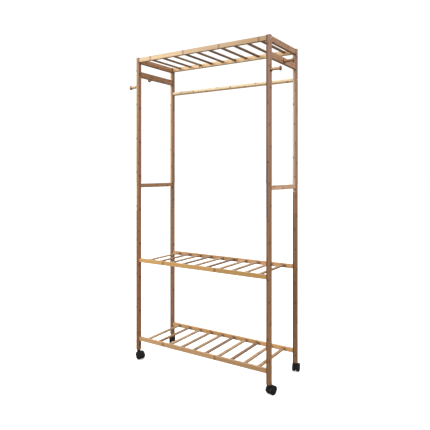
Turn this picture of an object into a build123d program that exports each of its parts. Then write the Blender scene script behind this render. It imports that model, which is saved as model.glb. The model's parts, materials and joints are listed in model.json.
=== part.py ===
"""Rolling bamboo clothes rack: two ladder side frames, three slatted shelves, a hanging rod and four casters.

Millimetres. X runs to the right, -Y is the front, Z is up. The origin is on the floor, in the middle.
"""

import os
from math import cos, radians, sin

from build123d import *

# ---------------------------------------------------------------- driving dimensions
post_side = 20.0
post_length = 1600.0
lower_post_length = 760.0
post_spacing_x = 796.0
post_spacing_y = 298.0
caster_height = 50.0
edge_round = 1.2

rail_thickness = 15.0
shelf_rail_height = 20.0
top_rail_height = 23.0
top_rail_drop = 2.0
bottom_shelf_height = 50.0
middle_shelf_height = 480.0

top_side_rail_height = 28.0
upper_side_rail_height = 30.0
upper_side_rail_bottom = 1495.0
middle_side_rail_height = 22.0
middle_side_rail_bottom = 888.0

slat_count = 10
slat_pitch = 75.0
slat_width = 18.0
slat_thickness = 6.0
slat_drop = 4.0
mortise_depth = 6.0
joint_gap = 0.1

rod_radius = 10.5
rod_height = 1443.0

peg_length = 52.0
peg_flange_radius = 12.0
peg_flange_thickness = 3.0
peg_waist_radius = 6.6
peg_head_radius = 11.5
peg_head_length = 8.0
peg_head_round = 2.0
post_peg_height = 1441.0
side_peg_height = 1508.5
peg_screw_radius = 2.5
peg_screw_in_peg = 14.0
peg_screw_in_frame = 11.0

bolt_radius = 3.0
bolt_length = 45.0
bolt_head_radius = 5.0
bolt_head_height = 4.0
bolt_head_recess = 0.3
bolt_key_size = 4.0
bolt_key_depth = 2.5
nut_radius = 5.0
nut_length = 12.0
nut_setback = 22.0

stud_radius = 4.0
stud_depth = 25.0
joint_chamfer = 0.4

dowel_radius = 3.0
dowel_depth = 12.0

socket_radius = 5.0
socket_depth = 18.0
stem_radius = 4.0
stem_rise = 15.0
stem_bottom = 39.0
collar_radius = 6.5
collar_thickness = 1.5
swivel_clearance = 0.06
axle_clearance = 0.05

wheel_radius = 20.0
wheel_width = 14.0
wheel_gap = 6.4
wheel_shoulder = 2.2
hub_radius = 6.5
wheel_rim = 3.4
dish_depth = 2.6
hood_radius = 23.2
hood_thickness = 1.8
hood_width = 32.0
caster_trail = 16.0
web_thickness = 5.0
web_hub_radius = 7.0
boss_radius = 9.5
boss_top = 48.2
boss_bottom = 31.0
axle_radius = 2.5
axle_length = 27.0

# Which way each caster trails from its post, in degrees from +X towards +Y.
caster_angles = {
    "front_left": -15.0,
    "back_left": -55.0,
    "front_right": 77.0,
    "back_right": 99.0,
}

# ---------------------------------------------------------------- worked-out dimensions
post_bottom = caster_height
post_joint = post_bottom + lower_post_length
post_top = post_bottom + post_length
rail_length = post_spacing_x - post_side
side_rail_length = post_spacing_y - post_side
outer_face_x = post_spacing_x / 2 + post_side / 2
inner_face_x = post_spacing_x / 2 - post_side / 2
slat_span = post_spacing_y - rail_thickness
slat_length = slat_span + 2 * (mortise_depth - joint_gap)

top_rail_bottom = post_top - top_rail_drop - top_rail_height
top_side_rail_bottom = post_top - top_rail_drop - top_side_rail_height

shelves = {
    "bottom": (post_bottom + bottom_shelf_height, shelf_rail_height),
    "middle": (post_bottom + middle_shelf_height, shelf_rail_height),
    "top": (top_rail_bottom, top_rail_height),
}
# Bottom, height and dowel heights of each side rail. The top rail's dowel passes under the shelf bolts.
side_rails = {
    "top": (top_side_rail_bottom, top_side_rail_height, [7.0]),
    "upper": (post_bottom + upper_side_rail_bottom, upper_side_rail_height, [8.0, 22.0]),
    "middle": (post_bottom + middle_side_rail_bottom, middle_side_rail_height, [11.0]),
}
post_lengths = {"lower": (post_bottom, post_joint), "upper": (post_joint, post_top)}
sides = {"left": -1, "right": 1}
rows = {"front": -1, "back": 1}
rod_z = post_bottom + rod_height
post_peg_z = post_bottom + post_peg_height
side_peg_z = post_bottom + side_peg_height


def bolt_points(row):
    """Heights and Y of the connector bolts in one post: one in each shelf rail, and one in the rod at the back."""
    post_y = row * post_spacing_y / 2
    points = [(post_y, bottom + height / 2) for bottom, height in shelves.values()]
    if row > 0:
        points.append((post_y, rod_z))
    return points


def write(piece, name):
    """Label one finished piece and write its STEP file."""
    piece.part.label = name
    export_step(piece.part, f"parts/{name}.step")


# ---------------------------------------------------------------- frame
def make_post(side, row, low, high):
    """One length of a square post: counterbored bolt holes, blind dowel holes, and a stud hole where lengths meet."""
    post_x = side * post_spacing_x / 2
    post_y = row * post_spacing_y / 2
    upper = low == post_joint
    with BuildPart() as post:
        with BuildSketch(Plane.XY.offset(low)):
            with Locations((post_x, post_y)):
                RectangleRounded(post_side, post_side, edge_round)
        extrude(amount=high - low)
        chamfer(post.faces().sort_by(Axis.Z)[-1].edges(), edge_round / 2 if upper else joint_chamfer)
        if upper:
            chamfer(post.faces().sort_by(Axis.Z)[0].edges(), joint_chamfer)
        for bolt_y, bolt_z in bolt_points(row):
            if low < bolt_z < high:
                with Locations(Plane((side * outer_face_x, bolt_y, bolt_z), z_dir=(side, 0, 0))):
                    CounterBoreHole(
                        radius=bolt_radius + joint_gap,
                        counter_bore_radius=bolt_head_radius + 2 * joint_gap,
                        counter_bore_depth=bolt_head_height + bolt_head_recess,
                    )
        for bottom, height, dowel_rises in side_rails.values():
            for rise in dowel_rises:
                if low < bottom + rise < high:
                    mouth = (post_x, post_y - row * post_side / 2, bottom + rise)
                    with Locations(Plane(mouth, z_dir=(0, -row, 0))):
                        Hole(radius=dowel_radius + joint_gap, depth=dowel_depth)
        with Locations(Plane((post_x, post_y, post_joint), z_dir=(0, 0, -1 if upper else 1))):
            Hole(radius=stud_radius + joint_gap, depth=stud_depth)
        if not upper:
            with Locations(Plane((post_x, post_y, post_bottom), z_dir=(0, 0, -1))):
                Hole(radius=socket_radius + joint_gap, depth=socket_depth)
        if upper and row < 0:
            with Locations(Plane((side * outer_face_x, post_y, post_peg_z), z_dir=(side, 0, 0))):
                Hole(radius=peg_screw_radius + joint_gap, depth=peg_screw_in_frame)
    return post


def make_shelf_rail(row, bottom, height):
    """Front or back rail of a shelf: slat mortises inside, a bolt bore in each end, a nut bore from below."""
    rail_y = row * post_spacing_y / 2
    inner_y = rail_y - row * rail_thickness / 2
    bolt_z = bottom + height / 2
    slat_z = bottom + height - slat_drop - slat_thickness / 2
    bolt_reach = bolt_length - (outer_face_x - bolt_head_recess - bolt_head_height - inner_face_x) + 1.0
    with BuildPart() as rail:
        with BuildSketch(Plane.YZ.offset(-rail_length / 2)):
            with Locations((rail_y, bolt_z)):
                RectangleRounded(rail_thickness, height, edge_round)
        extrude(amount=rail_length)
        with BuildSketch(Plane((0, inner_y, slat_z), x_dir=(1, 0, 0), z_dir=(0, -row, 0))):
            with GridLocations(slat_pitch, 0, slat_count, 1):
                RectangleRounded(slat_width + 2 * joint_gap, slat_thickness + 2 * joint_gap, edge_round)
        extrude(amount=-mortise_depth, mode=Mode.SUBTRACT)
        for side in sides.values():
            with Locations(Plane((side * inner_face_x, rail_y, bolt_z), z_dir=(side, 0, 0))):
                Hole(radius=bolt_radius + joint_gap, depth=bolt_reach)
            with Locations(Plane((side * (inner_face_x - nut_setback), rail_y, bottom), z_dir=(0, 0, -1))):
                Hole(radius=nut_radius + joint_gap, depth=height / 2 + nut_length / 2)
    return rail


def make_side_rail(side, bottom, height, dowel_rises, peg_hole):
    """Side rail of a ladder frame, glued and dowelled between the front and back posts."""
    rail_x = side * post_spacing_x / 2
    middle = bottom + height / 2
    with BuildPart() as rail:
        with BuildSketch(Plane.XZ.offset(-side_rail_length / 2)):
            with Locations((rail_x, middle)):
                RectangleRounded(rail_thickness, height, edge_round)
        extrude(amount=side_rail_length)
        for row in rows.values():
            for rise in dowel_rises:
                with Locations(Plane((rail_x, row * side_rail_length / 2, bottom + rise), z_dir=(0, row, 0))):
                    Hole(radius=dowel_radius + joint_gap, depth=dowel_depth)
        if peg_hole:
            with Locations(Plane((rail_x + side * rail_thickness / 2, 0, side_peg_z), z_dir=(side, 0, 0))):
                Hole(radius=peg_screw_radius + joint_gap, depth=peg_screw_in_frame)
    return rail


def make_slats(bottom, height):
    """The ten flat slats of one shelf, running front to back with their ends in the rails' mortises."""
    slat_z = bottom + height - slat_drop - slat_thickness / 2
    with BuildPart() as slats:
        with BuildSketch(Plane.XZ.offset(-slat_length / 2)):
            with Locations((0, slat_z)):
                with GridLocations(slat_pitch, 0, slat_count, 1):
                    RectangleRounded(slat_width, slat_thickness, edge_round)
        extrude(amount=slat_length)
    return slats


def make_rod():
    """Round hanging rod between the back posts, bored at both ends for its connector bolts."""
    rod_y = post_spacing_y / 2
    bolt_reach = bolt_length - (outer_face_x - bolt_head_recess - bolt_head_height - inner_face_x) + 1.0
    with BuildPart() as rod:
        with BuildSketch(Plane.YZ.offset(-rail_length / 2)):
            with Locations((rod_y, rod_z)):
                Circle(rod_radius)
        extrude(amount=rail_length)
        for side in sides.values():
            with Locations(Plane((side * inner_face_x, rod_y, rod_z), z_dir=(side, 0, 0))):
                Hole(radius=bolt_radius + joint_gap, depth=bolt_reach)
            nut_x = side * (inner_face_x - nut_setback)
            with Locations(Plane((nut_x, rod_y, rod_z - rod_radius), z_dir=(0, 0, -1))):
                Hole(radius=nut_radius + joint_gap, depth=rod_radius + nut_length / 2)
    return rod


# ---------------------------------------------------------------- pegs
def make_peg(side, base_x, peg_y, peg_z):
    """Turned peg pointing outwards: a base flange, a waisted stem and a domed head, bored for its screw."""
    head_start = peg_length - peg_head_length
    base = (base_x, peg_y, peg_z)
    with BuildPart() as peg:
        with BuildSketch(Plane(base, x_dir=(side, 0, 0), z_dir=(0, -side, 0))):
            with BuildLine():
                Line((0, 0), (0, peg_flange_radius - 0.8))
                ThreePointArc(
                    (0, peg_flange_radius - 0.8),
                    (peg_flange_thickness / 2, peg_flange_radius),
                    (peg_flange_thickness, peg_flange_radius - 0.8),
                )
                Line((peg_flange_thickness, peg_flange_radius - 0.8), (peg_flange_thickness, 9.2))
                Spline(
                    (peg_flange_thickness, 9.2),
                    (peg_length * 0.5, peg_waist_radius),
                    (head_start, peg_waist_radius + 1.0),
                    tangents=[(1, -0.9), (1, 0.25)],
                )
                Line((head_start, peg_waist_radius + 1.0), (head_start, peg_head_radius - peg_head_round))
                RadiusArc(
                    (head_start, peg_head_radius - peg_head_round),
                    (head_start + peg_head_round, peg_head_radius),
                    peg_head_round,
                )
                Spline(
                    (head_start + peg_head_round, peg_head_radius),
                    (peg_length, 0),
                    tangents=[(1, 0), (0, -1)],
                )
                Line((peg_length, 0), (0, 0))
            make_face()
        revolve(axis=Axis(base, (side, 0, 0)))
        with Locations(Plane(base, z_dir=(-side, 0, 0))):
            Hole(radius=peg_screw_radius + joint_gap, depth=peg_screw_in_peg + 1.0)
    return peg


# ---------------------------------------------------------------- fasteners
def make_connector_bolts():
    """Hex-socket connector bolts that draw every shelf rail and the rod against the posts."""
    with BuildPart() as bolts:
        for side in sides.values():
            for row in rows.values():
                for bolt_y, bolt_z in bolt_points(row):
                    top = (side * (outer_face_x - bolt_head_recess), bolt_y, bolt_z)
                    with BuildSketch(Plane(top, z_dir=(side, 0, 0))):
                        Circle(bolt_radius)
                    extrude(amount=-(bolt_head_height + bolt_length - 1.0))
                    with BuildSketch(Plane(top, z_dir=(side, 0, 0))):
                        Circle(bolt_head_radius)
                    extrude(amount=-bolt_head_height)
                    with BuildSketch(Plane(top, z_dir=(side, 0, 0))):
                        RegularPolygon(bolt_key_size / 2, 6, major_radius=False)
                    extrude(amount=-bolt_key_depth, mode=Mode.SUBTRACT)
    return bolts


def make_barrel_nuts():
    """Cross-drilled barrel nuts, pushed up into the rails and the rod from below."""
    with BuildPart() as nuts:
        for side in sides.values():
            for row in rows.values():
                for nut_y, nut_z in bolt_points(row):
                    nut_x = side * (inner_face_x - nut_setback)
                    with BuildSketch(Plane((nut_x, nut_y, nut_z - nut_length / 2))):
                        Circle(nut_radius)
                    extrude(amount=nut_length)
                    with Locations(Plane((nut_x + side * nut_radius, nut_y, nut_z), z_dir=(side, 0, 0))):
                        Hole(radius=bolt_radius + joint_gap / 2, depth=2 * nut_radius)
    return nuts


def make_post_studs():
    """Double-ended studs that join the lower and the upper length of each post."""
    length = 2 * (stud_depth - 1.0)
    with BuildPart() as studs:
        for side in sides.values():
            for row in rows.values():
                start = (side * post_spacing_x / 2, row * post_spacing_y / 2, post_joint - length / 2)
                with BuildSketch(Plane(start)):
                    Circle(stud_radius)
                extrude(amount=length)
    return studs


def make_dowels():
    """Wooden dowels hidden in the joints between the side rails and the posts."""
    length = 2 * (dowel_depth - 0.5)
    with BuildPart() as dowels:
        for side in sides.values():
            for row in rows.values():
                for bottom, height, dowel_rises in side_rails.values():
                    for rise in dowel_rises:
                        start_y = row * side_rail_length / 2 - length / 2
                        start = (side * post_spacing_x / 2, start_y, bottom + rise)
                        with BuildSketch(Plane(start, z_dir=(0, 1, 0))):
                            Circle(dowel_radius)
                        extrude(amount=length)
    return dowels


def make_peg_screws(peg_bases):
    """Double-ended screws that hold the pegs to the front posts and the upper side rails."""
    with BuildPart() as screws:
        for side, base_x, peg_y, peg_z in peg_bases:
            start = (base_x - side * (peg_screw_in_frame - 1.0), peg_y, peg_z)
            with BuildSketch(Plane(start, z_dir=(side, 0, 0))):
                Circle(peg_screw_radius)
            extrude(amount=peg_screw_in_frame - 1.0 + peg_screw_in_peg)
    return screws


def make_caster_sockets():
    """Threaded sleeves set in the bottom ends of the posts."""
    with BuildPart() as sockets:
        for side in sides.values():
            for row in rows.values():
                foot = (side * post_spacing_x / 2, row * post_spacing_y / 2, post_bottom)
                with BuildSketch(Plane(foot)):
                    Circle(socket_radius)
                    Circle(stem_radius + joint_gap / 2, mode=Mode.SUBTRACT)
                extrude(amount=socket_depth - 1.0)
    return sockets


# ---------------------------------------------------------------- casters
def caster_directions(angle):
    """Unit vectors of one caster: the way it trails, and the way its axle points."""
    trail = Vector(cos(radians(angle)), sin(radians(angle)), 0)
    across = Vector(sin(radians(angle)), -cos(radians(angle)), 0)
    return trail, across


def make_caster_stem(foot):
    """Steel stem screwed into the post, with a collar under the post and a journal for the housing."""
    with BuildPart() as stem:
        with BuildSketch(Plane((foot.X, foot.Y, stem_bottom))):
            Circle(stem_radius)
        extrude(amount=post_bottom + stem_rise - stem_bottom)
        chamfer(stem.edges().sort_by(Axis.Z)[-1], 0.8)
        with BuildSketch(Plane((foot.X, foot.Y, post_bottom - collar_thickness))):
            Circle(collar_radius)
        extrude(amount=collar_thickness)
    return stem


def make_caster_housing(foot, angle):
    """Housing between and over the twin wheels: a bored boss, a central web and a curved hood."""
    trail, across = caster_directions(angle)
    hub = foot + trail * caster_trail + Vector(0, 0, wheel_radius)
    web_side = hub - across * (web_thickness / 2)
    hood_side = hub - across * (hood_width / 2)
    boss_inner = wheel_radius + 1.0
    with BuildPart() as housing:
        with BuildSketch(Plane((foot.X, foot.Y, boss_bottom))):
            Circle(boss_radius)
        extrude(amount=boss_top - boss_bottom)
        with BuildSketch(Plane(hood_side, x_dir=trail, z_dir=across)):
            Circle(boss_inner)
        extrude(amount=hood_width, mode=Mode.SUBTRACT)
        with BuildSketch(Plane(hood_side, x_dir=trail, z_dir=across)):
            Circle(hood_radius)
            Circle(hood_radius - hood_thickness, mode=Mode.SUBTRACT)
            with Locations((0, -hood_radius - 3.0)):
                Rectangle(3 * hood_radius, 2 * hood_radius, mode=Mode.SUBTRACT)
        extrude(amount=hood_width)
        with BuildSketch(Plane(web_side, x_dir=trail, z_dir=across)):
            Circle(hood_radius - hood_thickness / 2)
            with Locations((0, -hood_radius - 3.0)):
                Rectangle(3 * hood_radius, 2 * hood_radius, mode=Mode.SUBTRACT)
            Circle(web_hub_radius)
            Circle(axle_radius, mode=Mode.SUBTRACT)
        extrude(amount=web_thickness)
        fillet(housing.faces().sort_by(Axis.Z)[-1].edges(), 0.8)
        with Locations(Plane((foot.X, foot.Y, boss_top))):
            Hole(radius=stem_radius + swivel_clearance, depth=boss_top - stem_bottom + 0.4)
    return housing


def make_caster_axle(foot, angle):
    """Steel axle pressed through the web, carrying one wheel on each end."""
    trail, across = caster_directions(angle)
    hub = foot + trail * caster_trail + Vector(0, 0, wheel_radius)
    with BuildPart() as axle:
        with BuildSketch(Plane(hub - across * (axle_length / 2), x_dir=trail, z_dir=across)):
            Circle(axle_radius)
        extrude(amount=axle_length)
        chamfer(axle.edges().filter_by(GeomType.CIRCLE), 0.5)
    return axle


def make_caster_wheel(foot, angle, hand):
    """One moulded wheel with rounded shoulders, a dished outer face and a blind axle bore."""
    trail, across = caster_directions(angle)
    hub = foot + trail * caster_trail + Vector(0, 0, wheel_radius)
    outwards = across * hand
    inner = wheel_gap / 2
    outer = inner + wheel_width
    rim = wheel_radius - wheel_rim
    bore_radius = axle_radius + axle_clearance
    bore_end = axle_length / 2 + 0.6
    with BuildPart() as wheel:
        with BuildSketch(Plane(hub, x_dir=outwards, z_dir=outwards.cross(Vector(0, 0, 1)))):
            with BuildLine():
                Polyline(
                    (bore_end, 0),
                    (bore_end, bore_radius),
                    (inner, bore_radius),
                    (inner, wheel_radius - wheel_shoulder),
                )
                RadiusArc(
                    (inner, wheel_radius - wheel_shoulder),
                    (inner + wheel_shoulder, wheel_radius),
                    wheel_shoulder,
                )
                Line((inner + wheel_shoulder, wheel_radius), (outer - wheel_shoulder, wheel_radius))
                RadiusArc(
                    (outer - wheel_shoulder, wheel_radius),
                    (outer, wheel_radius - wheel_shoulder),
                    wheel_shoulder,
                )
                Polyline(
                    (outer, wheel_radius - wheel_shoulder),
                    (outer, rim),
                    (outer - dish_depth, rim - 1.0),
                    (outer - dish_depth, hub_radius + 1.0),
                    (outer - 0.6, hub_radius),
                    (outer - 0.6, 0),
                    (bore_end, 0),
                )
            make_face()
        revolve(axis=Axis(hub, outwards))
    return wheel


# ---------------------------------------------------------------- build and write every piece
os.makedirs("parts", exist_ok=True)

for side_name, side in sides.items():
    for row_name, row in rows.items():
        for half, (low, high) in post_lengths.items():
            write(make_post(side, row, low, high), f"{row_name}_{side_name}_{half}_post")
    for level, (bottom, height, dowel_rises) in side_rails.items():
        rail = make_side_rail(side, bottom, height, dowel_rises, level == "upper")
        write(rail, f"{side_name}_{level}_side_rail")

for shelf, (bottom, height) in shelves.items():
    for row_name, row in rows.items():
        write(make_shelf_rail(row, bottom, height), f"{shelf}_shelf_{row_name}_rail")
    write(make_slats(bottom, height), f"{shelf}_shelf_slats")

write(make_rod(), "hanging_rod")

peg_bases = []
for side_name, side in sides.items():
    post_peg = (side, side * outer_face_x, -post_spacing_y / 2, post_peg_z)
    rail_peg = (side, side * (post_spacing_x / 2 + rail_thickness / 2), 0.0, side_peg_z)
    peg_bases += [post_peg, rail_peg]
    write(make_peg(*post_peg), f"front_{side_name}_post_peg")
    write(make_peg(*rail_peg), f"{side_name}_side_rail_peg")

write(make_connector_bolts(), "connector_bolts")
write(make_barrel_nuts(), "barrel_nuts")
write(make_post_studs(), "post_studs")
write(make_dowels(), "side_rail_dowels")
write(make_peg_screws(peg_bases), "peg_screws")
write(make_caster_sockets(), "caster_sockets")

for corner, angle in caster_angles.items():
    row_name, side_name = corner.split("_")
    foot = Vector(sides[side_name] * post_spacing_x / 2, rows[row_name] * post_spacing_y / 2, 0)
    write(make_caster_stem(foot), f"{corner}_caster_stem")
    write(make_caster_housing(foot, angle), f"{corner}_caster_housing")
    write(make_caster_axle(foot, angle), f"{corner}_caster_axle")
    write(make_caster_wheel(foot, angle, -1), f"{corner}_caster_left_wheel")
    write(make_caster_wheel(foot, angle, 1), f"{corner}_caster_right_wheel")
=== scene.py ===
# %% [markdown]
# # A rolling bamboo clothes rack
#
# The rack is a tall open frame of square bamboo posts, three slatted shelves, a round hanging rod,
# four turned pegs and four black twin-wheel casters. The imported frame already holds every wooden
# piece at its real size and place, so this lesson is mostly about finishes: bamboo that shows its
# strips, fibres and nodes, satin lacquer, plated steel and moulded nylon. The wheels are the one
# shape made again here, with the spokes and edges of a moulding.
#
# Everything is in metres. X runs to the right, -Y is the front, Z is up, and the floor is at zero.

# %% Load the frame
import json
from math import radians

import bpy
import numpy as np
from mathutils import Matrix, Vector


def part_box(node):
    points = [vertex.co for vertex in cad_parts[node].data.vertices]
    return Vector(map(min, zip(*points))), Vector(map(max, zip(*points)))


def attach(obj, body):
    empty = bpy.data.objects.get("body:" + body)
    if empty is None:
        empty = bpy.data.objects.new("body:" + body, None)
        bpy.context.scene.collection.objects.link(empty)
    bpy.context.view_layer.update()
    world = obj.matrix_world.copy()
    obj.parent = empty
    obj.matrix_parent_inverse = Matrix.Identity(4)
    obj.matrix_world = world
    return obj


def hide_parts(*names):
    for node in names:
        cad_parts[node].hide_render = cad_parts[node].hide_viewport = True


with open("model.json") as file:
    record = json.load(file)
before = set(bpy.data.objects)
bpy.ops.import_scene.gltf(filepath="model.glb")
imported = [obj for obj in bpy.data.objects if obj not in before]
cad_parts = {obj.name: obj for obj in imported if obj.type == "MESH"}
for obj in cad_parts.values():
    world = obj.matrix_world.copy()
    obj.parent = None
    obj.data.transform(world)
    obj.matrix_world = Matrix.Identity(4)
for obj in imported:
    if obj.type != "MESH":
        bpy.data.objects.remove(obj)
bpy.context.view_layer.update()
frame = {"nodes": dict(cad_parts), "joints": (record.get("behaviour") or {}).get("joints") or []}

mm = 0.001
nodes = frame["nodes"]
scene = bpy.context.scene

# %% [markdown]
# ## The camera
#
# Tall furniture is shot with a level camera, because a tilted one makes upright posts lean
# together. Here it stands at chest height. A small vertical shift of the lens frames the floor and
# the top shelf, as an architect's camera does.

# %% Camera
camera_data = bpy.data.cameras.new("camera")
camera_data.lens = 39.3
camera_data.sensor_width = 36.0
camera_data.shift_y = -0.096
camera = bpy.data.objects.new("camera", camera_data)
camera.location = (1.365, -2.083, 1.014)
camera.rotation_euler = (radians(90.0), 0.0, radians(33.13))
scene.collection.objects.link(camera)
scene.camera = camera
scene.view_settings.view_transform = "Standard"
print("the camera stands", round(camera.location.length, 2), "m from the foot of the rack's middle")

# %% [markdown]
# ## Floor, room and lamps
#
# A catalogue studio is a white room with large soft lamps. The room is the world colour: white
# above, and dim below, so that the undersides of the slats stay in shade as they do over a real
# floor. The camera's own rays see it as plain white all round, so no horizon shows. A high softbox
# at the front left lights the top of the rack most, and a weaker one at the right opens up the end
# faces that it can't reach.
#
# The pale floor glows a little, which keeps it white and leaves only a faint shadow under the
# casters. It is seen by the camera, but its bounce is kept off the rack. A white floor this close
# would fill every shadow with light and make the wood look flat.


# %% A helper for colours, then floor, room and lamps
def linear(hex_colour):
    """Linear RGBA of an sRGB hex colour.

    Each part is c / 12.92 where it is dark, and ((c + 0.055) / 1.055) ** 2.4 elsewhere.
    """
    srgb = np.array([int(hex_colour[i : i + 2], 16) for i in (0, 2, 4)]) / 255.0
    rgb = np.where(srgb <= 0.04045, srgb / 12.92, ((srgb + 0.055) / 1.055) ** 2.4)
    return (*rgb.tolist(), 1.0)


def add_node(tree, kind, settings, links):
    """Add one node.

    settings are its own attributes, and links give each input a value or another node's output.
    """
    node = tree.nodes.new(kind)
    for key, value in settings.items():
        setattr(node, key, value)
    for key, value in links.items():
        if isinstance(value, bpy.types.NodeSocket):
            tree.links.new(value, node.inputs[key])
        else:
            node.inputs[key].default_value = value
    return node


def softbox(name, place, aim, size, watts):
    """A square area lamp at place, turned so that its -Z axis points at aim."""
    lamp_data = bpy.data.lights.new(name, "AREA")
    lamp_data.shape = "SQUARE"
    lamp_data.size = size
    lamp_data.energy = watts
    lamp = bpy.data.objects.new(name, lamp_data)
    lamp.location = place
    way = np.subtract(aim, place)
    tilt = np.arctan2(np.hypot(way[0], way[1]), -way[2])
    lamp.rotation_euler = (tilt, 0.0, np.arctan2(-way[0], way[1]))
    scene.collection.objects.link(lamp)


bright_room, dim_room = 1.1, 0.25
floor_half = 40.0

room = bpy.data.worlds.new("white_room")
room.use_nodes = True
room_tree = room.node_tree
direction = add_node(room_tree, "ShaderNodeTexCoord", {}, {}).outputs["Generated"]
height = add_node(room_tree, "ShaderNodeSeparateXYZ", {}, {0: direction}).outputs["Z"]
brightness = add_node(
    room_tree, "ShaderNodeMapRange", {},
    {"Value": height, "From Min": -0.12, "From Max": 0.0, "To Min": dim_room, "To Max": bright_room},
).outputs["Result"]
seen = add_node(room_tree, "ShaderNodeLightPath", {}, {}).outputs["Is Camera Ray"]
strength = add_node(
    room_tree, "ShaderNodeMath", {"operation": "MAXIMUM"}, {0: brightness, 1: seen}
).outputs[0]
room_tree.nodes["Background"].inputs["Color"].default_value = (1.0, 1.0, 1.0, 1.0)
room_tree.links.new(strength, room_tree.nodes["Background"].inputs["Strength"])
scene.world = room

softbox("key_softbox", (-1.5, -2.2, 2.3), (-0.2, 0.0, 1.3), 1.2, 44.0)
softbox("fill_softbox", (2.3, -0.3, 1.7), (0.4, 0.0, 1.0), 1.2, 9.0)

floor_mesh = bpy.data.meshes.new("floor")
floor_corners = floor_half * np.array([(-1, -1, 0), (1, -1, 0), (1, 1, 0), (-1, 1, 0)])
floor_mesh.from_pydata(floor_corners.tolist(), [], [(0, 1, 2, 3)])
floor = bpy.data.objects.new("floor", floor_mesh)
floor.visible_diffuse = False
floor.visible_glossy = False
scene.collection.objects.link(floor)

pale_floor = bpy.data.materials.new("pale_matt_floor")
pale_floor.use_nodes = True
floor_shader = pale_floor.node_tree.nodes["Principled BSDF"]
floor_shader.inputs["Base Color"].default_value = linear("F8F8F6")
floor_shader.inputs["Roughness"].default_value = 0.9
floor_shader.inputs["Specular IOR Level"].default_value = 0.0
floor_shader.inputs["Emission Color"].default_value = linear("FFFFFF")
floor_shader.inputs["Emission Strength"].default_value = 0.45
floor_mesh.materials.append(pale_floor)
print("a white room, two softboxes and a floor", 2 * floor_half, "m wide")

# %% [markdown]
# ## Bamboo
#
# Bamboo lumber is made of split strips of the stem, planed square and glued side by side. Three
# things tell it from wood: fine straight fibres all the way along, a dark cross-line at each node
# of the stem, a hand's length or two apart, and neighbouring strips that differ in tone and have
# their nodes in different places. Carbonised bamboo is steamed before it is planed, which browns
# the sugars in it.
#
# The pattern lives in the solid, so it is worked out from where a point is, not from a picture
# wrapped around the piece. The fraction of the way across the piece picks the strip. The distance
# along it gives the node lines and the slightly different tone of each length between two nodes.
# Noise that is stretched along the grain gives the fibres, and it turns into dots on the sawn ends
# without any extra work.
#
# The surface is planed, sanded and sprayed with satin lacquer: an even soft gloss with the fibres
# just felt. Edges are darker, because lacquer and handling darken the first millimetre or two.
#
# The tones of the steamed wood are named once. Each steamed piece takes its strips from them, as a
# joiner takes them from the stack.


# %% The bamboo finish
tones = {
    "ivory": "E0C8A0",
    "cream": "D0BCA0",
    "straw": "C8B088",
    "fawn": "C89C78",
    "sand": "B89474",
    "amber": "B07E54",
    "wheat": "AC8860",
    "caramel": "A47E58",
    "almond": "A47854",
    "ginger": "A87850",
    "rose": "A0745C",
    "nutmeg": "A0704A",
    "cinnamon": "9A6E50",
    "copper": "946848",
    "cocoa": "906850",
    "chestnut": "906840",
    "auburn": "90643C",
    "hazel": "8E6A4A",
    "olive": "84683C",
    "walnut": "84644C",
    "bronze": "845628",
    "russet": "824C28",
    "umber": "7C5A3C",
    "peat": "583C2A",
    "mahogany": "5E341C",
    "ebony": "3A2212",
}


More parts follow.
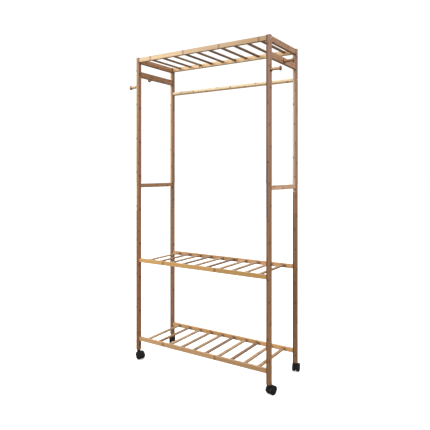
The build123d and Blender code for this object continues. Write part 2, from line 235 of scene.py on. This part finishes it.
def bamboo(
    name, box, grain, across, strips, node_and_shade_colour="4A2E1C", gap=0.24, node_at=0.0,
    painted_falloff=(1, 1, 1), shaded_ends=0.0, shaded_sides=1.0, foot_strips_below_highlight=None, highlight_foot_level=-1.0,
):
    """Laminated bamboo for one piece, from its box, its grain axis and the axis across its strips.

    strips are sRGB colours from the low side to the high side. Nodes are gap apart, and one of the
    first strip's is at node_at. painted_falloff is how much of each colour is left at the high end: a
    painted shade for the light falling off along the piece. Painted shade darkens the piece within
    shaded_ends of each end, where it goes into a joint, and further than shaded_sides from a strip's
    middle, on the side faces of strips that stand apart. Below highlight_foot_level the strips are
    foot_strips_below_highlight: partly strips end-jointed from shorter ones, and partly the strips
    above that level carry a painted highlight.
    colour = strip * tone between two nodes * fibres * painted_falloff, then darker near node lines and
    edges, and with painted shade at the sides and ends.
    """
    material = bpy.data.materials.new(name)
    material.use_nodes = True
    tree = material.node_tree
    shader = tree.nodes["Principled BSDF"]
    low, high = np.array(box[0]), np.array(box[1])
    size = high - low
    place = add_node(tree, "ShaderNodeTexCoord", {}, {}).outputs["Object"]
    xyz = add_node(tree, "ShaderNodeSeparateXYZ", {}, {0: place}).outputs

    # Which strip this is, and its colour.
    moved = add_node(
        tree, "ShaderNodeVectorMath", {"operation": "SUBTRACT"}, {0: place, 1: low.tolist()}
    ).outputs[0]
    unit = add_node(
        tree, "ShaderNodeVectorMath", {"operation": "DIVIDE"}, {0: moved, 1: size.tolist()}
    ).outputs[0]
    fractions = add_node(tree, "ShaderNodeSeparateXYZ", {}, {0: unit}).outputs
    fraction = fractions[across]
    spread = add_node(
        tree, "ShaderNodeMath", {"operation": "MULTIPLY"}, {0: fraction, 1: len(strips)}
    ).outputs[0]
    number = add_node(tree, "ShaderNodeMath", {"operation": "FLOOR"}, {0: spread}).outputs[0]
    palettes = []
    for colours in (strips, foot_strips_below_highlight or strips):
        palette = add_node(tree, "ShaderNodeValToRGB", {}, {"Fac": fraction})
        ramp = palette.color_ramp
        ramp.interpolation = "CONSTANT"
        ramp.elements[0].color = linear(colours[0])
        ramp.elements.remove(ramp.elements[1])
        for i, strip in enumerate(colours[1:], 1):
            ramp.elements.new(i / len(colours)).color = linear(strip)
        palettes.append(palette.outputs["Color"])
    below = add_node(
        tree, "ShaderNodeMath", {"operation": "LESS_THAN"}, {0: xyz[grain], 1: highlight_foot_level}
    ).outputs[0]
    strip_colour = add_node(
        tree, "ShaderNodeMix", {"data_type": "RGBA"}, {"Factor": below, 6: palettes[0], 7: palettes[1]}
    ).outputs[2]

    # Where it is between nodes. Each strip comes from another stem, so its nodes are slid along.
    slide = 0.37
    turns = add_node(
        tree, "ShaderNodeMath", {"operation": "MULTIPLY_ADD"},
        {0: xyz[grain], 1: 1.0 / gap, 2: -node_at / gap},
    ).outputs[0]
    slid = add_node(
        tree, "ShaderNodeMath", {"operation": "MULTIPLY_ADD"}, {0: number, 1: slide, 2: turns}
    ).outputs[0]
    length = add_node(tree, "ShaderNodeMath", {"operation": "FLOOR"}, {0: slid}).outputs[0]

    # A piece's own number gives it other tones than a piece with the same strips has.
    own_number = 7.3 * node_at + 31.0 * gap
    triple = add_node(
        tree, "ShaderNodeCombineXYZ", {}, {"X": number, "Y": length, "Z": own_number}
    ).outputs[0]
    toss = add_node(
        tree, "ShaderNodeTexWhiteNoise", {"noise_dimensions": "3D"}, {"Vector": triple}
    ).outputs["Value"]
    tone = add_node(
        tree, "ShaderNodeMapRange", {}, {"Value": toss, "To Min": 0.88, "To Max": 1.12}
    ).outputs["Result"]

    # Fibres: bundles are about 0.8 mm apart in the stem. The coarser set, 4 mm apart, carries them
    # when seen from across a room, where the fine ones blend.
    fine = (0.8 * mm, 60.0 * mm, 3.0)
    coarse = (4.0 * mm, 350.0 * mm, 2.0)
    layers = []
    for across_pitch, along_pitch, detail in (fine, coarse):
        scale = [1.0 / along_pitch if axis == grain else 1.0 / across_pitch for axis in "XYZ"]
        stretched = add_node(
            tree, "ShaderNodeVectorMath", {"operation": "MULTIPLY_ADD"}, {0: place, 1: scale, 2: triple}
        ).outputs[0]
        layers.append(
            add_node(
                tree, "ShaderNodeTexNoise", {}, {"Vector": stretched, "Scale": 1.0, "Detail": detail}
            ).outputs["Fac"]
        )
    fibres = add_node(
        tree, "ShaderNodeMath", {"operation": "ADD"}, {0: layers[0], 1: layers[1]}
    ).outputs[0]
    shade = add_node(
        tree, "ShaderNodeMapRange", {},
        {"Value": fibres, "From Min": 0.72, "From Max": 1.28, "To Min": 0.84, "To Max": 1.16},
    ).outputs["Result"]
    both = add_node(tree, "ShaderNodeMath", {"operation": "MULTIPLY"}, {0: tone, 1: shade}).outputs[0]
    # Painted shade: the colour falls off along the grain towards the high end, as the softbox's light
    # does.
    less = [part - 1.0 for part in painted_falloff]
    left = add_node(
        tree, "ShaderNodeVectorMath", {"operation": "MULTIPLY_ADD"},
        {0: fractions[grain], 1: less, 2: (1, 1, 1)},
    ).outputs[0]
    falloff_shaded = add_node(
        tree, "ShaderNodeVectorMath", {"operation": "MULTIPLY"}, {0: strip_colour, 1: left}
    ).outputs[0]
    body = add_node(
        tree, "ShaderNodeVectorMath", {"operation": "SCALE"}, {0: falloff_shaded, "Scale": both}
    ).outputs[0]

    # Node lines: a thin dark line, a little wavy, in a soft stain about 20 mm long.
    waviness = 5.0 * mm
    line_half, line_core = 2.4 * mm, 0.8 * mm
    stain_half = 11.0 * mm
    wavy = add_node(
        tree, "ShaderNodeMath", {"operation": "MULTIPLY_ADD"},
        {0: layers[1], 1: waviness / gap, 2: slid},
    ).outputs[0]
    nearest = add_node(tree, "ShaderNodeMath", {"operation": "ROUND"}, {0: wavy}).outputs[0]
    off = add_node(tree, "ShaderNodeMath", {"operation": "SUBTRACT"}, {0: wavy, 1: nearest}).outputs[0]
    distance = add_node(tree, "ShaderNodeMath", {"operation": "ABSOLUTE"}, {0: off}).outputs[0]
    line = add_node(
        tree, "ShaderNodeMapRange", {"interpolation_type": "SMOOTHSTEP"},
        {"Value": distance, "From Min": line_half / gap, "From Max": line_core / gap, "To Max": 0.85},
    ).outputs["Result"]
    stain = add_node(
        tree, "ShaderNodeMapRange", {"interpolation_type": "SMOOTHSTEP"},
        {"Value": distance, "From Min": stain_half / gap, "From Max": 0.0, "To Max": 0.6},
    ).outputs["Result"]
    dark = add_node(tree, "ShaderNodeMath", {"operation": "MAXIMUM"}, {0: line, 1: stain}).outputs[0]

    # Long edges: how far inside the piece the point is, across the grain. It is small for both axes
    # only there.
    edge_depth, edge_core = 2.2 * mm, 0.4 * mm
    centre = ((low + high) / 2).tolist()
    half = (size / 2).tolist()
    offset = add_node(
        tree, "ShaderNodeVectorMath", {"operation": "SUBTRACT"}, {0: place, 1: centre}
    ).outputs[0]
    far = add_node(tree, "ShaderNodeVectorMath", {"operation": "ABSOLUTE"}, {0: offset}).outputs[0]
    inside = add_node(
        tree, "ShaderNodeVectorMath", {"operation": "SUBTRACT"}, {0: half, 1: far}
    ).outputs[0]
    depth = add_node(tree, "ShaderNodeSeparateXYZ", {}, {0: inside}).outputs
    first, second = [depth[axis] for axis in "XYZ" if axis != grain]
    deeper = add_node(
        tree, "ShaderNodeMath", {"operation": "MAXIMUM"}, {0: first, 1: second}
    ).outputs[0]
    edge = add_node(
        tree, "ShaderNodeMapRange", {"interpolation_type": "SMOOTHSTEP"},
        {"Value": deeper, "From Min": edge_depth, "From Max": edge_core, "To Max": 0.5},
    ).outputs["Result"]
    worn = add_node(tree, "ShaderNodeMath", {"operation": "MAXIMUM"}, {0: dark, 1: edge}).outputs[0]

    # Painted shade at the two ends, where the wood goes into a joint.
    blend = 0.8 * mm
    end = add_node(
        tree, "ShaderNodeMapRange", {"interpolation_type": "SMOOTHSTEP"},
        {"Value": depth[grain], "From Min": shaded_ends + blend, "From Max": 0.4 * shaded_ends, "To Max": 0.85},
    ).outputs["Result"]
    worn_and_end_shaded = add_node(tree, "ShaderNodeMath", {"operation": "MAXIMUM"}, {0: worn, 1: end}).outputs[0]

    # Painted shade on the side faces of strips that stand apart, such as slats. It goes by how far
    # the point is from the middle of its own strip.
    within = add_node(tree, "ShaderNodeMath", {"operation": "FRACT"}, {0: spread}).outputs[0]
    middle = add_node(tree, "ShaderNodeMath", {"operation": "SUBTRACT"}, {0: within, 1: 0.5}).outputs[0]
    aside = add_node(tree, "ShaderNodeMath", {"operation": "ABSOLUTE"}, {0: middle}).outputs[0]
    pitch = float(size["XYZ".index(across)]) / len(strips)
    side = add_node(
        tree, "ShaderNodeMapRange", {"interpolation_type": "SMOOTHSTEP"},
        {"Value": aside, "From Min": (shaded_sides - blend) / pitch, "From Max": shaded_sides / pitch, "To Max": 0.45},
    ).outputs["Result"]
    marks_and_shade = add_node(tree, "ShaderNodeMath", {"operation": "MAXIMUM"}, {0: worn_and_end_shaded, 1: side}).outputs[0]
    # One dark colour serves the node lines and edges, and the painted shade at ends and sides.
    coloured = add_node(
        tree, "ShaderNodeMix", {"data_type": "RGBA"},
        {"Factor": marks_and_shade, 6: body, 7: linear(node_and_shade_colour)},
    )
    tree.links.new(coloured.outputs[2], shader.inputs["Base Color"])

    # Satin lacquer over planed wood.
    rough = add_node(
        tree, "ShaderNodeMapRange", {}, {"Value": layers[0], "To Min": 0.36, "To Max": 0.52}
    ).outputs["Result"]
    relief = add_node(
        tree, "ShaderNodeMath", {"operation": "SUBTRACT"}, {0: layers[0], 1: line}
    ).outputs[0]
    bump = add_node(
        tree, "ShaderNodeBump", {}, {"Strength": 0.3, "Distance": 0.15 * mm, "Height": relief}
    )
    tree.links.new(rough, shader.inputs["Roughness"])
    tree.links.new(bump.outputs["Normal"], shader.inputs["Normal"])
    shader.inputs["IOR"].default_value = 1.5
    shader.inputs["Specular IOR Level"].default_value = 0.25
    shader.inputs["Coat Weight"].default_value = 0.08
    shader.inputs["Coat Roughness"].default_value = 0.25
    return material


def dress(name, material):
    """Put one material on a node of the frame."""
    nodes[name].data.materials.clear()
    nodes[name].data.materials.append(material)


print(len(tones), "tones of steamed bamboo")


# %% [markdown]
# ## Posts
#
# Each post is two lengths of carbonised bamboo, butted end to end on a hidden stud. A length has
# three strips, 6.7 mm each. They come from a mixed stack, so pale strips sit beside brown
# ones, and the two lengths of a post don't match at the joint. That mismatch is what shows the
# joint from across a room. The palest strips, at the left of the upper lengths, are partly their own
# tone and partly a painted highlight where the softbox at the upper left falls on them.
#
# Three upper lengths have paler strips above a height of about a metre and darker ones below it.
# This is partly strips end-jointed from two, and partly a painted highlight on their upper part,
# which the softbox's light reaches most. The distance between nodes is a property
# of the stem, so both lengths of a post keep it.

# %% Posts
# Strips from left to right. The pale first strips of the upper lengths are partly a painted highlight.
post_strips = {
    "front_left_upper_post": ("straw", "olive", "cinnamon"),
    "front_left_lower_post": ("wheat", "russet", "copper"),
    "back_left_upper_post": ("ivory", "caramel", "copper"),
    "back_left_lower_post": ("umber", "chestnut", "cinnamon"),
    "front_right_upper_post": ("mahogany", "cocoa", "cinnamon"),
    "front_right_lower_post": ("bronze", "chestnut", "cinnamon"),
    "back_right_upper_post": ("cream", "sand", "rose"),
    "back_right_lower_post": ("peat", "auburn", "walnut"),
}

# The height at which a length's strips change, in metres, and the strips below it. Above it the
# strips carry a painted highlight.
foot_strips_below_highlight = {
    "back_left_upper_post": (0.93, ("hazel", "hazel", "hazel")),
    "front_right_upper_post": (1.05, ("ebony", "cocoa", "cinnamon")),
    "back_right_upper_post": (0.92, ("umber", "cinnamon", "copper")),
}

# The distance between nodes, and the height of one of them, in metres.
post_nodes = {
    "front_left": (0.185, 0.1),
    "back_left": (0.27, 0.35),
    "front_right": (0.27, 0.36),
    "back_right": (0.27, 0.29),
}
for name, strips in post_strips.items():
    gap, node_at = post_nodes[name.rsplit("_", 2)[0]]
    level, foot = foot_strips_below_highlight.get(name, (-1.0, ()))
    finish = bamboo(
        "carbonised_bamboo_" + name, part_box(name), "Z", "X", [tones[strip] for strip in strips],
        gap=gap, node_at=node_at, foot_strips_below_highlight=[tones[strip] for strip in foot], highlight_foot_level=level,
    )
    dress(name, finish)
print(len(post_strips), "lengths of post")

# %% [markdown]
# ## Rails
#
# The shelf rails are natural bamboo, yellower and paler than the posts. Their strips stand side by
# side, so one whole strip is the front face, and its nodes cross the full height. Each shelf rail is
# painted darker towards its right end, the top front rail most of all: painted shade for the light of
# the softbox at the left, which falls off along it. The side rails of the ladder
# frames are carbonised, and plain: two or three strips of nearly one colour.

# %% Rails
# For each rail: its strips, the distance between nodes and the place of one, and how much of
# each colour the painted shade leaves at its right end.
shelf_rails = {
    "top_shelf_front_rail": (("CFAF84", "C9A77A"), 0.219, 0.132, (0.74, 0.66, 0.56)),
    "top_shelf_back_rail": (("E9C28E", "DDB27E"), 0.24, 0.05, (0.92, 0.90, 0.86)),
    "middle_shelf_front_rail": (("C69A5F", "C89C62"), 0.326, 0.107, (1.0, 1.0, 1.0)),
    "middle_shelf_back_rail": (("D2A272", "C39361"), 0.27, -0.21, (0.94, 0.92, 0.90)),
    "bottom_shelf_front_rail": (("C0976A", "C29A6A"), 0.326, 0.107, (0.96, 0.96, 0.96)),
    "bottom_shelf_back_rail": (("D4A36C", "C6935B"), 0.30, -0.12, (0.94, 0.94, 0.94)),
}
for name, (strips, gap, node_at, painted_falloff) in shelf_rails.items():
    finish = bamboo(
        "natural_bamboo_" + name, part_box(name), "X", "Y", strips, "6B4424",
        gap=gap, node_at=node_at, painted_falloff=painted_falloff,
    )
    dress(name, finish)

side_strips = {
    "left_top_side_rail": ("amber", "amber", "ginger"),
    "left_upper_side_rail": ("ginger", "ginger", "nutmeg"),
    "left_middle_side_rail": ("almond", "almond"),
    "right_top_side_rail": ("nutmeg", "ginger", "nutmeg"),
    "right_upper_side_rail": ("ginger", "ginger", "nutmeg"),
    "right_middle_side_rail": ("fawn", "fawn"),
}
for i, (name, strips) in enumerate(side_strips.items()):
    finish = bamboo(
        "carbonised_bamboo_" + name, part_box(name), "Y", "Z", [tones[strip] for strip in strips],
        gap=0.25, node_at=0.047 * i,
    )
    dress(name, finish)
print(len(shelf_rails), "shelf rails and", len(side_strips), "side rails")

# %% [markdown]
# ## Slats
#
# A slat is one strip, 18 mm wide, cut across the shelf. The ten slats of a shelf come from one
# pile, so each has its own tone. They are let into the rails, and painted shade darkens each slat
# where it enters the mortises and along its side faces.

# %% Slats
slat_tones = (
    "B08A5E", "946B43", "B68F62", "A0784E", "AB8256", "906741", "B99266", "845C3A", "AE865A", "A57D52",
)
slat_pitch = 75.0 * mm
half_row = slat_pitch * len(slat_tones) / 2
for i, name in enumerate(sorted(name for name in nodes if name.endswith("_shelf_slats"))):
    low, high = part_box(name)
    row = ((-half_row, low.y, low.z), (half_row, high.y, high.z))
    # Painted shade darkens each slat near its ends and on its side faces.
    finish = bamboo(
        "bamboo_" + name, row, "Y", "X", slat_tones[2 * i :] + slat_tones[: 2 * i],
        gap=0.23, node_at=0.07 * i, shaded_ends=24.0 * mm, shaded_sides=8.9 * mm,
    )
    dress(name, finish)
print("three shelves of", len(slat_tones), "slats")

# %% [markdown]
# ## Rod and pegs
#
# The hanging rod and the pegs are turned on a lathe from pale laminated blanks, so the strips cut
# through the round as straight bands. A peg is short, and seldom has a node in it.

# %% Rod and pegs
rod_strips = ("DDB27C", "F8E2BA", "FCEAC4")
finish = bamboo(
    "turned_bamboo_rod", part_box("hanging_rod"), "X", "Z", rod_strips, "6B4626", gap=0.25, node_at=0.11
)
dress("hanging_rod", finish)
# Strips from the bottom up. The dark bottom strip is painted shade on the pegs' undersides, and each peg
# is painted darker near its ends, painted shade where it meets the post.
peg_strips_shaded_below = ("8A5E3A", "C49A6E", "BE9064")
pegs = sorted(name for name in nodes if name.endswith("_peg"))
for i, name in enumerate(pegs):
    finish = bamboo(
        "turned_bamboo_" + name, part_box(name), "X", "Z", peg_strips_shaded_below, "5E3B20",
        gap=0.9, node_at=0.5 + 0.03 * i, shaded_ends=4.0 * mm,
    )
    dress(name, finish)
print("one rod and", len(pegs), "pegs")

# %% [markdown]
# ## Metal and nylon
#
# The bolts, nuts and studs are steel with bright zinc: a bluish grey that is never quite polished,
# because the plating is a fine crystal. The sleeves in the feet are turned brass. The caster
# housings are glass-filled nylon straight from the mould, with a spark-eroded grain, and the wheels
# are the same black nylon, a little smoother. The dowels are raw beech.


# %% Metal and nylon finishes
def grained(name, colour, metallic, roughness, pitch, depth):
    """A hard surface with a fine grain: noise at the given pitch moves the roughness and the height.

    Real plating and mould grains are about 0.1 mm. They are drawn 4 to 5 times coarser, or they
    wouldn't show. Patches about 8 mm wide differ a little in shade.
    """
    material = bpy.data.materials.new(name)
    material.use_nodes = True
    tree = material.node_tree
    shader = tree.nodes["Principled BSDF"]
    place = add_node(tree, "ShaderNodeTexCoord", {}, {}).outputs["Object"]
    noise = add_node(
        tree, "ShaderNodeTexNoise", {}, {"Vector": place, "Scale": 1.0 / pitch, "Detail": 2.0}
    ).outputs["Fac"]
    rough = add_node(
        tree, "ShaderNodeMapRange", {},
        {
            "Value": noise, "From Min": 0.3, "From Max": 0.7,
            "To Min": roughness - 0.07, "To Max": roughness + 0.1,
        },
    ).outputs["Result"]
    patches = add_node(
        tree, "ShaderNodeTexNoise", {}, {"Vector": place, "Scale": 120.0}
    ).outputs["Fac"]
    shade = add_node(
        tree, "ShaderNodeMapRange", {}, {"Value": patches, "To Min": 0.85, "To Max": 1.15}
    ).outputs["Result"]
    tint = add_node(
        tree, "ShaderNodeVectorMath", {"operation": "SCALE"}, {0: linear(colour)[:3], "Scale": shade}
    ).outputs[0]
    bump = add_node(
        tree, "ShaderNodeBump", {}, {"Strength": 0.3, "Distance": depth, "Height": noise}
    )
    tree.links.new(rough, shader.inputs["Roughness"])
    tree.links.new(tint, shader.inputs["Base Color"])
    tree.links.new(bump.outputs["Normal"], shader.inputs["Normal"])
    shader.inputs["Metallic"].default_value = metallic
    return material


zinc = grained("bright_zinc_plated_steel", "C9CACB", 1.0, 0.3, 0.5 * mm, 0.02 * mm)
brass = grained("turned_brass", "C8A963", 1.0, 0.3, 0.5 * mm, 0.02 * mm)
stem_steel = grained("drawn_steel", "A3A5A8", 1.0, 0.35, 0.5 * mm, 0.02 * mm)
housing_nylon = grained("spark_eroded_black_nylon", "050507", 0.0, 0.5, 0.5 * mm, 0.06 * mm)
wheel_nylon = grained("smooth_black_nylon", "060608", 0.0, 0.42, 0.4 * mm, 0.03 * mm)
for nylon in (housing_nylon, wheel_nylon):
    nylon_shader = nylon.node_tree.nodes["Principled BSDF"]
    nylon_shader.inputs["IOR"].default_value = 1.53
    nylon_shader.inputs["Specular IOR Level"].default_value = 0.3

beech = bamboo("raw_beech_dowels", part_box("side_rail_dowels"), "Y", "X", ("D8B98A",), "C6A173", gap=2.0)
hardware = {
    "connector_bolts": zinc,
    "barrel_nuts": zinc,
    "peg_screws": zinc,
    "post_studs": zinc,
    "caster_sockets": brass,
    "side_rail_dowels": beech,
}
caster_finishes = {"stem": stem_steel, "axle": stem_steel, "housing": housing_nylon}
for name in nodes:
    if "_caster_" in name:
        part = name.split("_caster_")[1]
        if part in caster_finishes:
            hardware[name] = caster_finishes[part]
for name, finish in hardware.items():
    dress(name, finish)
print(len(hardware), "pieces of hardware dressed")

# %% [markdown]
# ## Wheels
#
# Each wheel is a nylon moulding, 40 mm across: a tread with rounded shoulders and a fine parting
# line in its middle, an outer face dished between the rim and the hub, and six low spokes across
# the dish that stiffen it. It turns on a blind bore from inside.
#
# All but the spokes is a surface of revolution, so the profile is written once as distances along
# the axle and out from it, and carried around. The spokes only raise the bottom of the dish, so
# they are added to the same grid as a wave around the axle. That keeps the wheel one closed
# surface.


# %% The wheel surface
# Distances along the axle are from the middle of the caster. The dish is measured in from the face.
inner, outer = 3.2 * mm, 17.2 * mm
radius = 20.0 * mm
bore, bore_end = 2.55 * mm, 14.1 * mm
shoulder = 2.2 * mm
dish_depth = 2.6 * mm
spoke_rise = 1.3 * mm
spoke_count = 6
spoke_foot, spoke_slope = 0.62, 0.25


def wheel_profile():
    """Distances along the axle and out from it, from the bottom of the bore to the hub's middle.

    It goes up the bore, over the inner face, round the tread, and down the rim and the dish. A
    rounded shoulder is a quarter circle with s for its radius and q for the angle:
    along = edge + s (1 - cos q), out = radius - s (1 - sin q).
    """
    quarter = np.linspace(0.0, np.pi / 2, 7)
    middle = (inner + outer) / 2
    web_face = inner + 1.2 * mm
    bore_part = [(bore_end, 0.0), (bore_end, bore), (inner, bore), (inner, bore + 1.6 * mm)]
    web = [(web_face, bore + 2.6 * mm), (web_face, radius - 5.0 * mm), (inner, radius - 4.2 * mm)]
    near = (inner + shoulder * (1 - np.cos(quarter)), radius - shoulder * (1 - np.sin(quarter)))
    parting = [
        (middle - 0.35 * mm, radius), (middle, radius - 0.25 * mm), (middle + 0.35 * mm, radius)
    ]
    distant = (
        outer - shoulder * (1 - np.sin(quarter)), radius - shoulder * (1 - np.cos(quarter))
    )
    rim = [(outer, radius - 3.2 * mm), (outer - 0.4 * mm, radius - 3.7 * mm)]
    dish = (np.full(14, outer - dish_depth), np.linspace(radius - 4.4 * mm, 7.6 * mm, 14))
    hub = [
        (outer - 0.9 * mm, 6.6 * mm), (outer - 0.6 * mm, 6.0 * mm), (outer - 0.6 * mm, 2.4 * mm)
    ]
    cap = [(outer - 0.9 * mm, 2.0 * mm), (outer - 0.9 * mm, 0.0)]
    near, distant, dish = (np.column_stack(pair) for pair in (near, distant, dish))
    return np.vstack((bore_part, web, near, parting, distant, rim, dish, hub, cap))


def wheel_surface(name, centre, axle, material):
    """A wheel around an axle that points outwards.

    A point at distance a along the axle, r out from it and angle t round it is
    centre + a * axle + r * (cos t * level + sin t * up). In the dish, a grows by
    spoke_rise * spoke(t), where spoke is a smooth wave with six flat peaks: it starts where the
    cosine of 6 t passes spoke_foot, and is full spoke_slope above that.
    """
    columns = 96
    profile = wheel_profile()
    turns = np.linspace(0.0, 2 * np.pi, columns, endpoint=False)
    along = np.repeat(profile[:, 0:1], columns, axis=1)
    out = np.repeat(profile[:, 1:2], columns, axis=1)
    wave = np.clip((np.cos(spoke_count * turns) - spoke_foot) / spoke_slope, 0.0, 1.0)
    spoke = wave * wave * (3 - 2 * wave)
    in_dish = np.isclose(profile[:, 0], outer - dish_depth)
    along = along + spoke_rise * in_dish[:, None] * spoke
    up = np.array((0.0, 0.0, 1.0))
    axle = np.array(axle) / np.linalg.norm(axle)
    level = np.cross(up, axle)
    round_axle = np.cos(turns)[:, None] * level + np.sin(turns)[:, None] * up
    points = np.array(centre) + along[..., None] * axle + out[..., None] * round_axle

    # The first and last rows of the grid are single points on the axle, so they are joined by fans.
    grid = np.arange((len(profile) - 2) * columns).reshape(-1, columns)
    ahead = np.roll(grid, -1, axis=1)
    vertices = np.vstack((points[1:-1].reshape(-1, 3), points[0, 0], points[-1, 0]))
    poles = np.full((2, columns), [[len(vertices) - 2], [len(vertices) - 1]])
    quads = np.stack((grid[:-1], grid[1:], ahead[1:], ahead[:-1]), axis=-1).reshape(-1, 4)
    bottom_fan = np.stack((poles[0], grid[0], ahead[0]), axis=-1)
    cap_fan = np.stack((poles[1], ahead[-1], grid[-1]), axis=-1)

    mesh = bpy.data.meshes.new(name)
    faces = quads.tolist() + bottom_fan.tolist() + cap_fan.tolist()
    mesh.from_pydata(vertices.tolist(), [], faces)
    mesh.shade_smooth()
    mesh.set_sharp_from_angle(angle=radians(32.0))
    mesh.materials.append(material)
    piece = bpy.data.objects.new(name, mesh)
    scene.collection.objects.link(piece)
    return piece


spins = [joint for joint in frame["joints"] if joint["name"].endswith("_wheel_spin")]
for joint in spins:
    corner, hand = joint["name"].removesuffix("_wheel_spin").rsplit("_", 1)
    node = f"{corner}_caster_{hand}_wheel"
    centre = np.array(joint["pos_m"])
    low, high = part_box(node)
    outwards = (np.array(low) + np.array(high)) / 2 - centre
    outwards[2] = 0.0
    wheel = wheel_surface(f"{corner}_{hand}_moulded_wheel", centre, outwards, wheel_nylon)
    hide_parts(node)
    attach(wheel, joint["child"])
print(len(spins), "wheels of", len(wheel.data.polygons), "faces each")
